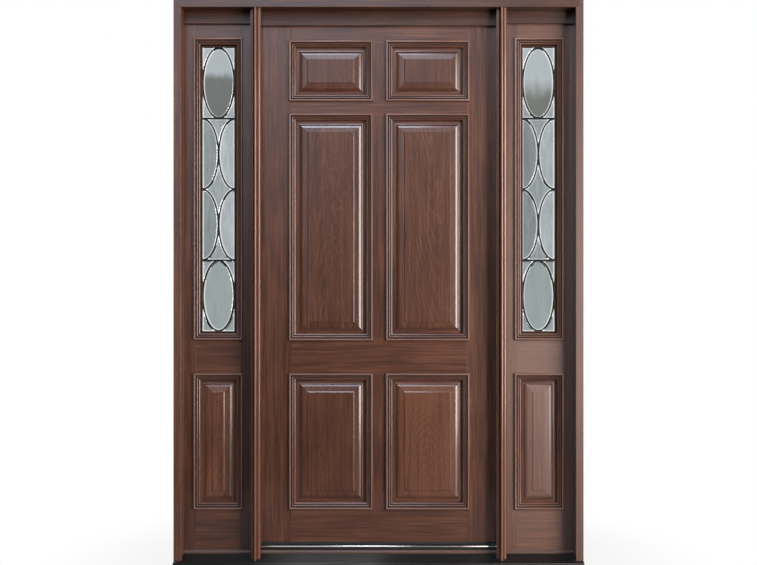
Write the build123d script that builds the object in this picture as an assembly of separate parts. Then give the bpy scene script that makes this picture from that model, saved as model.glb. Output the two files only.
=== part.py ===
from build123d import *
from math import radians, tan
import os

# A six-panel entry door between two fixed sidelights, hung in one wooden frame on a sloping sill.
# Lengths are in millimetres. X runs across the doorway as seen from outside, Y runs inwards with
# its zero half-way through the frame, and Z is up from the underside of the sill.

# Door leaf
door_width = 927.9
door_height = 2032.7
door_thickness = 44.5
hinge_stile_width = 122.5
lock_stile_width = 115.8
muntin_width = 71.0
bottom_rail_height = 137.0
lower_opening_height = 515.1
lock_rail_height = 148.2
frieze_rail_height = 67.9
top_opening_height = 219.1
top_rail_height = 73.3
lock_edge_bevel = 2.0  # degrees off square, so that the leading edge swings clear

# Room for the door to move
hinge_gap = 5.0
lock_gap = 6.7
head_gap = 6.0
stop_gap = 5.0
sweep_gap = 5.3

# Frame
reveal_depth = 71.5  # from the exterior face of the jambs to that of the door
jamb_thickness = 30.0
jamb_housing = 13.0  # how far each end of the head is let into a jamb
head_thickness = 30.0
mullion_width = 40.0
stop_width = 12.0
stop_thickness = 8.5
stop_height = 13.2
header_height = 58.2
sidelight_header_height = 50.0
edge_ease = 1.2

# Mullion cover: a tall ridge down the middle, with a bead and a flat edge on either side
cover_setback = 1.0
cover_ridge_width = 10.0
cover_ridge_side = 3.5
cover_ridge_rise = 21.0
cover_bead_width = 8.2
cover_bead_side = 2.0
cover_bead_rise = 4.2
cover_edge_width = 3.4
cover_edge_rise = 1.2
cover_cove = 0.6

# Sill and threshold
sill_projection = 18.0
sill_nose_height = 22.0
sill_nose_radius = 5.0
sill_height = 42.0
sill_bead_width = 9.5
sill_bead_height = 10.0
sill_bead_bevel = 5.0
threshold_base_height = 19.0
threshold_cap_height = 9.0
threshold_cap_projection = 4.0
door_sweep_height = 9.0
door_sweep_setback = 5.0

# Sidelights
sidelight_width = 265.2
sidelight_stile_width = 45.6
sidelight_lock_rail_height = 150.5
sidelight_top_rail_height = 63.7

# Bolection moulding: a bead over the face, two rounded steps, a sunk well and a rising sight edge
moulding_lip = 10.0
moulding_seat_depth = 15.0
outer_bead_width = 8.6
outer_bead_side = 6.4
outer_bead_crest = 9.4
hollow_width = 4.2
hollow_height = 3.4
upper_step_width = 4.6
upper_step_crest = 6.0
upper_step_foot = 3.6
quirk_width = 3.0
quirk_height = 2.2
lower_step_width = 6.0
lower_step_crest = 3.8
lower_step_foot = 0.2
well_side = 1.2
well_depth = 9.8
panel_well_width = 10.0
glass_well_width = 1.5
sight_edge_width = 5.4
sight_edge_depth = 7.8

# Raised panels
groove_depth = 12.0
panel_play = 2.0  # room for the panel to swell in its grooves
panel_margin = 2.0
panel_edge_height = 4.6
panel_ovolo_width = 9.0
panel_ovolo_rise = 3.8
panel_ovolo_radius = 45.0
panel_bevel_width = 18.5
panel_bevel_rise = 1.9
panel_step_width = 2.6
panel_step_rise = 1.7
glass_play = 3.0

# Butt hinges, on the inside of the left mullion
hinge_height = 100.0
hinge_knuckles = 3
hinge_leaf_depth = 37.0
hinge_leaf_thickness = 2.5
hinge_barrel_radius = 6.5
hinge_barrel_clearance = 0.5
hinge_knuckle_gap = 0.3
hinge_pin_radius = 3.5
hinge_pin_clearance = 0.05
hinge_head_radius = 5.2
hinge_head_height = 4.0
top_hinge_drop = 230.0
bottom_hinge_rise = 330.0

# Places that follow from the sizes, from the outside inwards
interior = (reveal_depth + door_thickness) / 2
exterior = -interior
door_face = exterior + reveal_depth
door_middle = door_face + door_thickness / 2
stop_back = door_face - stop_gap
stop_front = stop_back - stop_thickness
mullion_front = exterior + cover_setback + cover_ridge_rise

# Places across the doorway
rabbet_half = (door_width + hinge_gap + lock_gap) / 2
door_left = -rabbet_half + hinge_gap
door_right = door_left + door_width
doorway_half = rabbet_half - stop_width
mullion_outer = doorway_half + mullion_width
jamb_inner = mullion_outer + sidelight_width
jamb_outer = jamb_inner + jamb_thickness
sidelight_middle = (mullion_outer + jamb_inner) / 2
sidelight_opening_width = sidelight_width - 2 * sidelight_stile_width
rail_left = door_left + hinge_stile_width
rail_right = door_right - lock_stile_width
muntin_middle = (rail_left + rail_right) / 2
opening_width = (rail_right - rail_left - muntin_width) / 2
left_opening_x = rail_left + opening_width / 2
right_opening_x = rail_right - opening_width / 2

# Levels
threshold_top = sill_height + threshold_base_height + threshold_cap_height
door_bottom = threshold_top + sweep_gap + door_sweep_height
door_top = door_bottom + door_height
lower_opening_bottom = door_bottom + bottom_rail_height
lock_rail_bottom = lower_opening_bottom + lower_opening_height
lock_rail_top = lock_rail_bottom + lock_rail_height
top_opening_top = door_top - top_rail_height
top_opening_bottom = top_opening_top - top_opening_height
frieze_rail_bottom = top_opening_bottom - frieze_rail_height
rabbet_top = door_top + head_gap
header_bottom = rabbet_top - stop_height
head_underside = header_bottom + header_height
frame_top = head_underside + head_thickness
sidelight_top = head_underside - sidelight_header_height
glass_opening_bottom = lock_rail_bottom + sidelight_lock_rail_height
glass_opening_top = sidelight_top - sidelight_top_rail_height
hinge_low = door_bottom + bottom_hinge_rise
hinge_high = door_top - top_hinge_drop
hinge_levels = [hinge_low, (hinge_low + hinge_high) / 2, hinge_high]

# Other places
tongue_thickness = door_thickness - 2 * moulding_seat_depth
steps_width = outer_bead_width + hollow_width + upper_step_width + quirk_width + lower_step_width
panel_moulding_width = steps_width + well_side + panel_well_width + sight_edge_width
hinge_x = door_left - hinge_gap / 2
hinge_y = interior + hinge_barrel_radius + hinge_barrel_clearance
cover_middle = (doorway_half + mullion_outer) / 2

# Each opening of the door: the x of its middle, its bottom and its top
lower_row = (lower_opening_bottom, lock_rail_bottom)
tall_row = (lock_rail_top, frieze_rail_bottom)
top_row = (top_opening_bottom, top_opening_top)


# Shared shapes
def block(low, high):
    """A box between its low and high corners."""
    size = [b - a for a, b in zip(low, high)]
    return Pos(*low) * Box(*size, align=(Align.MIN, Align.MIN, Align.MIN))


def prism(outline, low, high):
    """An upright bar over a plan outline of (x, y) points."""
    plan = make_face(Polyline(*outline, close=True))
    return extrude(Pos(0, 0, low) * plan, high - low)


def other_side(shape):
    """The mirror image of a shape, on the other side of the doorway."""
    return mirror(shape, Plane.YZ)


def moved_across(shape, middle):
    """A copy of a shape that is symmetrical about x = middle, on the other side of the doorway."""
    return Pos(-2 * middle, 0, 0) * shape


def ring(section, width, height):
    """Four bars of one section, mitred at the corners of an upright rectangle.

    The section's x is measured inwards from the rectangle and its y towards the outside.
    """
    reach = section.bounding_box().max.X
    sides = []
    for length, span, turn in ((height, width, 0), (width, height, 90)):
        outer, inner = -span / 2, -span / 2 + reach
        start = Plane(origin=(outer, 0, length / 2), x_dir=(1, 0, 0), z_dir=(0, 0, -1))
        bar = extrude(start * section, length)
        short = length / 2 - reach
        corners = [(outer, -length / 2), (outer, length / 2), (inner, short), (inner, -short)]
        mitred = make_face(Polyline(*corners, close=True))
        bar &= extrude(Plane.XZ * mitred, 2 * reach, both=True)
        bar = Rot(0, turn, 0) * bar
        sides += [bar, Rot(0, 180, 0) * bar]
    return sides[0] + sides[1:]


def bead(start, width, foot, crest):
    """A half-round bead in a moulding's section, with its two feet at one height."""
    return ThreePointArc((start, foot), (start + width / 2, crest), (start + width, foot))


def rounded_step(start, width, crest, foot):
    """The top of a step in a moulding's section, level at its crest and rounded over to its foot."""
    return TangentArc((start, crest), (start + width, foot), tangent=(1, 0))


def moulding_section(well_width):
    """The bolection's section, with its y at zero on the face of the stile."""
    hollow_end = outer_bead_width + hollow_width
    upper_end = hollow_end + upper_step_width
    quirk_end = upper_end + quirk_width
    well_start = steps_width + well_side
    well_end = well_start + well_width
    sight_edge = well_end + sight_edge_width
    outline = [
        Line((0, 0), (0, outer_bead_side)),
        bead(0, outer_bead_width, outer_bead_side, outer_bead_crest),
        Polyline(
            (outer_bead_width, outer_bead_side),
            (outer_bead_width, hollow_height),
            (hollow_end, hollow_height),
            (hollow_end, upper_step_crest),
        ),
        rounded_step(hollow_end, upper_step_width, upper_step_crest, upper_step_foot),
        Polyline(
            (upper_end, upper_step_foot),
            (upper_end, quirk_height),
            (quirk_end, quirk_height),
            (quirk_end, lower_step_crest),
        ),
        rounded_step(quirk_end, lower_step_width, lower_step_crest, lower_step_foot),
        Polyline(
            (steps_width, lower_step_foot),
            (well_start, -well_depth),
            (well_end, -well_depth),
            (sight_edge, -sight_edge_depth),
            (sight_edge, -moulding_seat_depth),
            (moulding_lip, -moulding_seat_depth),
            (moulding_lip, 0),
            (0, 0),
        ),
    ]
    return make_face(outline)


def mouldings(x, row, width, well_width):
    """Bolection frames on both faces, round an opening of one width."""
    low, high = row
    section = moulding_section(well_width)
    frame = ring(section, width + 2 * moulding_lip, high - low + 2 * moulding_lip)
    front = Pos(0, -door_thickness / 2, 0) * frame
    return [Pos(x, door_middle, (low + high) / 2) * face for face in (front, Rot(0, 0, 180) * front)]


def groove(x, row, width):
    """The room taken by the grooves round an opening."""
    low, high = row
    half = width / 2 + groove_depth
    back = door_middle + tongue_thickness / 2
    return block(
        (x - half, back - tongue_thickness, low - groove_depth), (x + half, back, high + groove_depth)
    )


def raised_panel(x, row, width):
    """A panel raised on both faces, with its tongue in the grooves."""
    low, high = row
    height = high - low
    reach = 2 * (groove_depth - panel_play)
    tongue = Box(width + reach, tongue_thickness, height + reach)
    inset = 2 * (panel_moulding_width - moulding_lip + panel_margin)
    ovolo_start = (0, panel_edge_height)
    ovolo_end = (panel_ovolo_width, panel_edge_height + panel_ovolo_rise)
    bevel_end = (ovolo_end[0] + panel_bevel_width, ovolo_end[1] + panel_bevel_rise)
    field_edge = (bevel_end[0] + panel_step_width, bevel_end[1] + panel_step_rise)
    waste_top = field_edge[1] + panel_step_rise
    corners = [ovolo_end, bevel_end, field_edge, (field_edge[0], waste_top), (0, waste_top), ovolo_start]
    waste = make_face([RadiusArc(ovolo_start, ovolo_end, panel_ovolo_radius), Polyline(*corners)])
    blank = Box(width - inset, field_edge[1], height - inset)
    blank = Pos(0, -field_edge[1] / 2, 0) * blank
    front = Pos(0, -tongue_thickness / 2, 0) * (blank - ring(waste, width - inset, height - inset))
    panel = tongue + front + Rot(0, 0, 180) * front
    return Pos(x, door_middle, (low + high) / 2) * panel


# Frame
def make_sill():
    """The full-width sill: a rounded nose, a weathered slope and a flat under the door."""
    nose = exterior - sill_projection
    slope = [(nose, sill_nose_height), (door_face, sill_height)]
    outline = [(nose, 0), *slope, (interior, sill_height), (interior, 0)]
    end_view = make_face(Polyline(*outline, close=True))
    nose_corner = end_view.vertices().sort_by_distance((nose, sill_nose_height))[0]
    end_view = fillet(nose_corner, sill_nose_radius)
    return Pos(-jamb_outer, 0, 0) * extrude(Plane.YZ * end_view, 2 * jamb_outer)


def make_jamb(sill):
    """The right jamb, with its foot cut to the sill and its top housed for the head."""
    post = block((jamb_inner, exterior, 0), (jamb_outer, interior, frame_top))
    front_edges = post.edges().filter_by(Axis.Z).group_by(Axis.Y)[0]
    post = chamfer(front_edges, edge_ease)
    housing_end = jamb_inner + jamb_housing
    return post - block((jamb_inner, exterior, head_underside), (housing_end, interior, frame_top)) - sill


def make_head():
    """The head, let into both jambs."""
    half = jamb_inner + jamb_housing
    head = block((-half, exterior, head_underside), (half, interior, frame_top))
    front_edges = head.edges().filter_by(Axis.X).group_by(Axis.Y)[0]
    return chamfer(front_edges.sort_by(Axis.Z)[0], edge_ease)


def make_mullion(sill):
    """The right mullion, a post rabbeted on the side of the door."""
    outline = [
        (doorway_half, mullion_front),
        (mullion_outer, mullion_front),
        (mullion_outer, interior),
        (rabbet_half, interior),
        (rabbet_half, stop_back),
        (doorway_half, stop_back),
    ]
    return prism(outline, 0, head_underside) - sill


def make_mullion_cover(sill):
    """The moulded strip on the front of the right mullion."""
    half = mullion_width / 2
    edge_start = half - cover_edge_width
    bead_start = edge_start - cover_bead_width
    ridge_half = cover_ridge_width / 2
    ridge_side = cover_ridge_rise - cover_ridge_side
    one_side = [
        SagittaArc((ridge_half, ridge_side), (bead_start, cover_bead_side), -cover_cove),
        bead(bead_start, cover_bead_width, cover_bead_side, cover_bead_rise),
        Polyline(
            (edge_start, cover_bead_side), (edge_start, cover_edge_rise), (half, cover_edge_rise), (half, 0)
        ),
    ]
    ridge = bead(-ridge_half, cover_ridge_width, ridge_side, cover_ridge_rise)
    back = Line((-half, 0), (half, 0))
    mirrored = [mirror(edge, Plane.YZ) for edge in one_side]
    section = make_face([ridge, back, *one_side, *mirrored])
    front = Plane(origin=(cover_middle, mullion_front, 0), x_dir=(-1, 0, 0), z_dir=(0, 0, 1))
    return extrude(front * section, head_underside) - sill


def make_door_header():
    """The bar under the head, rabbeted for the top of the door."""
    lip = block((-doorway_half, stop_front, header_bottom), (doorway_half, stop_back, head_underside))
    body = block((-rabbet_half, stop_back, rabbet_top), (rabbet_half, interior, head_underside))
    return lip + body


def make_sidelight_header():
    """The bar between the head and the right sidelight."""
    return block((mullion_outer, stop_front, sidelight_top), (jamb_inner, interior, head_underside))


def make_sill_bead(left, right, sill):
    """A bevelled wooden bead along the sill, scribed to its slope."""
    top = sill_height + sill_bead_height
    strip = block((left, door_face - sill_bead_width, 0), (right, door_face, top))
    upper_edges = strip.edges().filter_by(Axis.X).group_by(Axis.Z)[-1]
    return chamfer(upper_edges.sort_by(Axis.Y)[0], sill_bead_bevel) - sill


def make_threshold_base():
    """The dark riser that the threshold cap sits on."""
    low, high = sill_height, threshold_top - threshold_cap_height
    return block((-rabbet_half, door_face, low), (rabbet_half, interior, high))


def make_threshold_cap(mullions):
    """The metal cap under the door, with a round nose, cut round the mullions."""
    low = threshold_top - threshold_cap_height
    front = door_face - threshold_cap_projection
    cap = block((-rabbet_half, front, low), (rabbet_half, interior, threshold_top))
    nose = cap.edges().filter_by(Axis.X).group_by(Axis.Y)[0]
    return fillet(nose, threshold_cap_height * 0.45) - mullions


# Sidelights
def make_sidelight():
    """The right sidelight: glass over a raised panel, in stiles and rails."""
    left, right = mullion_outer, jamb_inner
    width = sidelight_opening_width
    rail_start, rail_end = left + sidelight_stile_width, right - sidelight_stile_width
    panel_groove = groove(sidelight_middle, lower_row, width)
    glass_row = (glass_opening_bottom, glass_opening_top)
    rail_spans = [
        (sill_height, lower_opening_bottom),
        (lock_rail_bottom, glass_opening_bottom),
        (glass_opening_top, sidelight_top),
    ]
    stiles = [
        block((left, door_face, sill_height), (rail_start, interior, sidelight_top)),
        block((rail_end, door_face, sill_height), (right, interior, sidelight_top)),
    ]
    rails = [block((rail_start, door_face, low), (rail_end, interior, high)) for low, high in rail_spans]
    glass_height = glass_opening_top - glass_opening_bottom
    glass = Box(width - 2 * glass_play, tongue_thickness, glass_height - 2 * glass_play)
    return {
        "stiles": [stile - panel_groove for stile in stiles],
        "rails": [rail - panel_groove for rail in rails],
        "glass": [Pos(sidelight_middle, door_middle, sum(glass_row) / 2) * glass],
        "glass_mouldings": mouldings(sidelight_middle, glass_row, width, glass_well_width),
        "panel": [raised_panel(sidelight_middle, lower_row, width)],
        "panel_mouldings": mouldings(sidelight_middle, lower_row, width, panel_well_width),
    }


# Hinges
def hinge_pockets(low_x, high_x):
    """The pockets that the hinge leaves are let into."""
    front = interior - hinge_leaf_depth
    half = hinge_height / 2
    return [block((low_x, front, z - half), (high_x, interior, z + half)) for z in hinge_levels]


def hinge_leaf(level, low_x, own_turn):
    """A leaf and its knuckles, where own_turn is 0 for the mullion's and 1 for the door's."""
    low = level - hinge_height / 2
    pitch = hinge_height / hinge_knuckles
    high_x = low_x + hinge_leaf_thickness
    trim = hinge_knuckle_gap / 2
    leaf = block(
        (low_x, interior - hinge_leaf_depth, low + trim), (high_x, hinge_y, low + hinge_height - trim)
    )
    for knuckle in range(hinge_knuckles):
        middle = Pos(hinge_x, hinge_y, low + pitch * (knuckle + 0.5))
        if knuckle % 2 == own_turn:
            leaf += middle * Cylinder(hinge_barrel_radius, pitch - hinge_knuckle_gap)
        else:
            room = hinge_barrel_radius + hinge_barrel_clearance / 2
            leaf -= middle * Cylinder(room, pitch + hinge_knuckle_gap)
    return leaf


def mullion_hinge(level):
    """A leaf on the mullion, with the pin driven into its knuckles and a button on top."""
    low = Pos(hinge_x, hinge_y, level - hinge_height / 2)
    upright = (Align.CENTER, Align.CENTER, Align.MIN)
    pin = low * Cylinder(hinge_pin_radius, hinge_height - hinge_knuckle_gap / 2, align=upright)
    button = low * Pos(0, 0, hinge_height - hinge_knuckle_gap / 2)
    button *= Cone(hinge_head_radius, hinge_pin_radius, hinge_head_height, align=upright)
    return hinge_leaf(level, -rabbet_half - hinge_leaf_thickness, 0) + pin + button


def door_hinge(level):
    """A leaf on the door, bored to turn on the pin."""
    bore = Cylinder(hinge_pin_radius + hinge_pin_clearance, 2 * hinge_height)
    return hinge_leaf(level, door_left, 1) - Pos(hinge_x, hinge_y, level) * bore


# Door
def make_door():
    """The hung leaf: stiles, rails and muntins grooved for six raised panels."""
    columns = (left_opening_x, right_opening_x)
    grooves = [groove(x, row, opening_width) for row in (lower_row, tall_row, top_row) for x in columns]
    bevelled = door_right - door_thickness * tan(radians(lock_edge_bevel))
    lock_edge = [(bevelled, door_face), (door_right, interior)]
    lock_plan = [(rail_right, door_face), *lock_edge, (rail_right, interior)]
    hinge_stile = block((door_left, door_face, door_bottom), (rail_left, interior, door_top))
    lock_stile = prism(lock_plan, door_bottom, door_top)
    muntin_left = muntin_middle - muntin_width / 2
    muntin_right = muntin_left + muntin_width
    rails = {
        "bottom_rail": (door_bottom, lower_opening_bottom),
        "lock_rail": (lock_rail_bottom, lock_rail_top),
        "frieze_rail": (frieze_rail_bottom, top_opening_bottom),
        "top_rail": (top_opening_top, door_top),
    }
    members = {
        "hinge_stile": [hinge_stile - hinge_pockets(door_left, door_left + hinge_leaf_thickness)],
        "lock_stile": [lock_stile],
        "muntins": [
            block((muntin_left, door_face, low), (muntin_right, interior, high))
            for low, high in (lower_row, tall_row, top_row)
        ],
    }
    for name, (low, high) in rails.items():
        members[name] = [block((rail_left, door_face, low), (rail_right, interior, high))]
    nodes = {name: [shape - grooves for shape in shapes] for name, shapes in members.items()}
    for name, row in (("lower", lower_row), ("tall", tall_row), ("top", top_row)):
        nodes[f"{name}_panels"] = [raised_panel(x, row, opening_width) for x in columns]
        nodes[f"{name}_panel_mouldings"] = [
            frame for x in columns for frame in mouldings(x, row, opening_width, panel_well_width)
        ]
    sweep_low = (door_left, door_face + door_sweep_setback, door_bottom - door_sweep_height)
    nodes["door_sweep"] = [block(sweep_low, (bevelled, interior - door_sweep_setback, door_bottom))]
    nodes["hinge_door_leaves"] = [door_hinge(level) for level in hinge_levels]
    return nodes


def make_frame():
    """Everything that stays still, except the sidelights."""
    sill = make_sill()
    jamb = make_jamb(sill)
    mullion = make_mullion(sill)
    cover = make_mullion_cover(sill)
    header = make_sidelight_header()
    side_bead = make_sill_bead(mullion_outer, jamb_inner, sill)
    pockets = hinge_pockets(-rabbet_half - hinge_leaf_thickness, -rabbet_half)
    left_mullion = other_side(mullion) - pockets
    return {
        "sill": [sill],
        "left_jamb": [other_side(jamb)],
        "right_jamb": [jamb],
        "head_jamb": [make_head()],
        "left_mullion": [left_mullion],
        "right_mullion": [mullion],
        "left_mullion_cover": [moved_across(cover, cover_middle)],
        "right_mullion_cover": [cover],
        "door_header": [make_door_header()],
        "left_sidelight_header": [moved_across(header, sidelight_middle)],
        "right_sidelight_header": [header],
        "sill_beads": [
            moved_across(side_bead, sidelight_middle),
            make_sill_bead(-doorway_half, doorway_half, sill),
            side_bead,
        ],
        "threshold_base": [make_threshold_base()],
        "threshold_cap": [make_threshold_cap([left_mullion, mullion])],
        "hinge_frame_leaves": [mullion_hinge(level) for level in hinge_levels],
    }


def main():
    os.makedirs("parts", exist_ok=True)
    nodes = make_frame() | make_door()
    for name, shapes in make_sidelight().items():
        nodes[f"right_sidelight_{name}"] = shapes
        nodes[f"left_sidelight_{name}"] = [moved_across(shape, sidelight_middle) for shape in shapes]
    for name, shapes in nodes.items():
        solids = [solid for shape in shapes for solid in shape.solids()]
        export_step(solids[0] if len(solids) == 1 else Compound(children=solids), f"parts/{name}.step")


main()
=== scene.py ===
"""Looks of a panelled wood entry door that stands between two leaded sidelights.

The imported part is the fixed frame. Each operator dresses one group of pieces: timber, raised panels,
mouldings, leaded glass, sill and hardware. The last one sets the studio round them.
"""

import math
import random

import bmesh
import bpy
import numpy as np
from bpy.props import FloatProperty, FloatVectorProperty, IntProperty, PointerProperty
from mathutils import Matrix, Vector
from mathutils.geometry import delaunay_2d_cdt


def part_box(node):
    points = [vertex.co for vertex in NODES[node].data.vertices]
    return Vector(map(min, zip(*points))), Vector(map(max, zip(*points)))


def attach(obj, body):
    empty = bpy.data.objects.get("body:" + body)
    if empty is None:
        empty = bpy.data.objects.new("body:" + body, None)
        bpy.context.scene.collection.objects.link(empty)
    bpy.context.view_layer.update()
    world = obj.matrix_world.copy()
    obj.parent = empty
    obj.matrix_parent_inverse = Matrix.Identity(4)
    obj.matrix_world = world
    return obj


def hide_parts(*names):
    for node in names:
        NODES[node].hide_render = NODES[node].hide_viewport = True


bl_info = {
    "name": "Panelled Entry Door",
    "version": (1, 0, 0),
    "blender": (4, 5, 0),
    "location": "3D View > Sidebar > Entry Door",
    "description": "Dresses a panelled wood entry door and its two leaded sidelights",
    "category": "Object",
}

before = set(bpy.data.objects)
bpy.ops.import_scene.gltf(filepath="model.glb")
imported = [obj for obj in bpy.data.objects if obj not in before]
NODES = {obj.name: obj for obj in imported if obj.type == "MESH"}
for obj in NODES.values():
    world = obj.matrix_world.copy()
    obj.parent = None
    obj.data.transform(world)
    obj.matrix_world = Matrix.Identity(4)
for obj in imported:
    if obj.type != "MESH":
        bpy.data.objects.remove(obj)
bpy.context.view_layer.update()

MM = 0.001
SAME_SPOT = 0.001 * MM
SIDES = ("left", "right")
DOOR, FRAME = "door", "frame"
GRAIN_SEED, SCREW_SEED = 7, 11

# Ways that the grain runs: up, across, or along a moulding's own length.
UP, ACROSS, ALONG = "up", "across", "along"

# UV map of a moulding's grain, and attribute of the painted shade in its quirks and the painted highlight
# on its crests.
GRAIN_MAP, PAINTED_LIGHT_MAP = "grain", "stain"

# Depth of the leaf and the sidelights: outside face, inside face and the plane half way between them.
FACE_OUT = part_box("hinge_stile")[0].y
FACE_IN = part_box("hinge_stile")[1].y
MID_DEPTH = (FACE_OUT + FACE_IN) / 2


# Settings that a user would change


class DoorFinishSettings(bpy.types.PropertyGroup):
    """Colours and gloss of the timber, the glass, the lead and the metals."""

    wood_dark: FloatVectorProperty(
        name="Wood, dark", description="Stained wood in its darkest streaks",
        subtype="COLOR", size=3, min=0, max=1, default=(0.046, 0.0135, 0.0052))
    wood_mid: FloatVectorProperty(
        name="Wood, middle", description="Stained wood between its streaks",
        subtype="COLOR", size=3, min=0, max=1, default=(0.086, 0.027, 0.0120))
    wood_light: FloatVectorProperty(
        name="Wood, light", description="Stained wood in its palest figure",
        subtype="COLOR", size=3, min=0, max=1, default=(0.142, 0.053, 0.0250))
    # A pale colour painted in as sheen on the boards and as highlight on the crests of the mouldings.
    wood_sheen: FloatVectorProperty(
        name="Wood, faded", description="Wood of the boards that the sun has bleached",
        subtype="COLOR", size=3, min=0, max=1, default=(0.30, 0.203, 0.172))
    varnish_roughness: FloatProperty(
        name="Varnish roughness", description="Roughness of the satin varnish",
        subtype="FACTOR", min=0, max=1, default=0.42)
    glass_dim: FloatVectorProperty(
        name="Glass, dim", description="Textured glass where it is greenest",
        subtype="COLOR", size=3, min=0, max=1, default=(0.185, 0.202, 0.184))
    glass_grey: FloatVectorProperty(
        name="Glass, grey", description="Textured glass of a middle tone",
        subtype="COLOR", size=3, min=0, max=1, default=(0.330, 0.376, 0.374))
    # Also the tint of the painted reflection on the top of the glass.
    glass_pale: FloatVectorProperty(
        name="Glass, pale", description="Textured glass where it is clearest",
        subtype="COLOR", size=3, min=0, max=1, default=(0.460, 0.508, 0.528))
    bevel_tint: FloatVectorProperty(
        name="Bevelled edge", description="Tint of the ground edge of each pane",
        subtype="COLOR", size=3, min=0, max=1, default=(0.97, 0.99, 0.99))
    lead: FloatVectorProperty(
        name="Lead", description="Patinated lead of the came",
        subtype="COLOR", size=3, min=0, max=1, default=(0.007, 0.008, 0.009))
    sill: FloatVectorProperty(
        name="Sill", description="Dark bronze paint of the sill",
        subtype="COLOR", size=3, min=0, max=1, default=(0.008, 0.0076, 0.0074))
    # A paler colour painted in the middle of the sill as a sheen of reflected light.
    sill_sheen: FloatVectorProperty(
        name="Sill, worn", description="Paint of the sill where feet have worn it",
        subtype="COLOR", size=3, min=0, max=1, default=(0.084, 0.082, 0.080))
    threshold: FloatVectorProperty(
        name="Threshold", description="Mill finish of the threshold cap",
        subtype="COLOR", size=3, min=0, max=1, default=(0.86, 0.79, 0.71))
    steel: FloatVectorProperty(
        name="Hinges", description="Brushed steel of the hinges",
        subtype="COLOR", size=3, min=0, max=1, default=(0.56, 0.55, 0.53))
    rubber: FloatVectorProperty(
        name="Sweep", description="Rubber of the sweep under the leaf",
        subtype="COLOR", size=3, min=0, max=1, default=(0.018, 0.018, 0.019))


class DoorDetailSettings(bpy.types.PropertyGroup):
    """Sizes of the fine detail that the finish adds."""

    eased_edge: FloatProperty(
        name="Eased edge", description="Round on the sharp edges of the timber",
        unit="LENGTH", min=0, default=0.5 * MM)
    bead_steps: IntProperty(
        name="Bead steps", description="Flats along each round of a moulding",
        min=3, max=24, default=9)
    came_width: FloatProperty(
        name="Came width", description="Width of the lead strips",
        unit="LENGTH", min=0, default=5.8 * MM)
    came_rise: FloatProperty(
        name="Came rise", description="How far the lead stands off the glass",
        unit="LENGTH", min=0, default=2.4 * MM)
    bevel_width: FloatProperty(
        name="Bevel width", description="Width of the ground edge of each pane",
        unit="LENGTH", min=0, default=3.6 * MM)
    bevel_rise: FloatProperty(
        name="Bevel rise", description="Height of a pane over its ground edge",
        unit="LENGTH", min=0, default=1.8 * MM)


class DoorStageSettings(bpy.types.PropertyGroup):
    """Camera and lamps."""

    camera_distance: FloatProperty(
        name="Camera distance", description="From the camera to the middle of the frame",
        unit="LENGTH", default=4.350)
    camera_height: FloatProperty(
        name="Camera height", description="Height of the camera over the floor",
        unit="LENGTH", default=1.103)
    lens: FloatProperty(
        name="Lens", description="Focal length in millimetres", default=52.8)
    key_power: FloatProperty(
        name="Key lamp", description="Power of the tall lamp at the right", default=300.0)
    high_power: FloatProperty(
        name="High lamp", description="Power of the cool lamp high over the camera", default=66.0)
    sky_power: FloatProperty(
        name="Sky lamp", description="Power of the far cool lamp over the camera", default=28.0)
    back_power: FloatProperty(
        name="Back lamp", description="Power of the lamp that lights the inside face", default=150.0)
    glow: FloatProperty(
        name="Glow", description="Strength of the soft light high at the left", default=1.7)


# Shader wiring


class Wire:
    """One output of a node. Arithmetic on it adds Math nodes."""

    def __init__(self, finish, socket):
        self.finish = finish
        self.socket = socket

    def math(self, operation, *others):
        values = dict(enumerate((self, *others)))
        return self.finish.add("Math", {"operation": operation}, values)

    def __add__(self, other):
        return self.math("ADD", other)

    def __sub__(self, other):
        return self.math("SUBTRACT", other)

    def __mul__(self, other):
        return self.math("MULTIPLY", other)

    def __pow__(self, other):
        return self.math("POWER", other)

    def __neg__(self):
        return self.math("MULTIPLY", -1.0)

    __radd__ = __add__
    __rmul__ = __mul__

    def __rsub__(self, other):
        return self.finish.add("Math", {"operation": "SUBTRACT"}, {0: other, 1: self})


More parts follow.
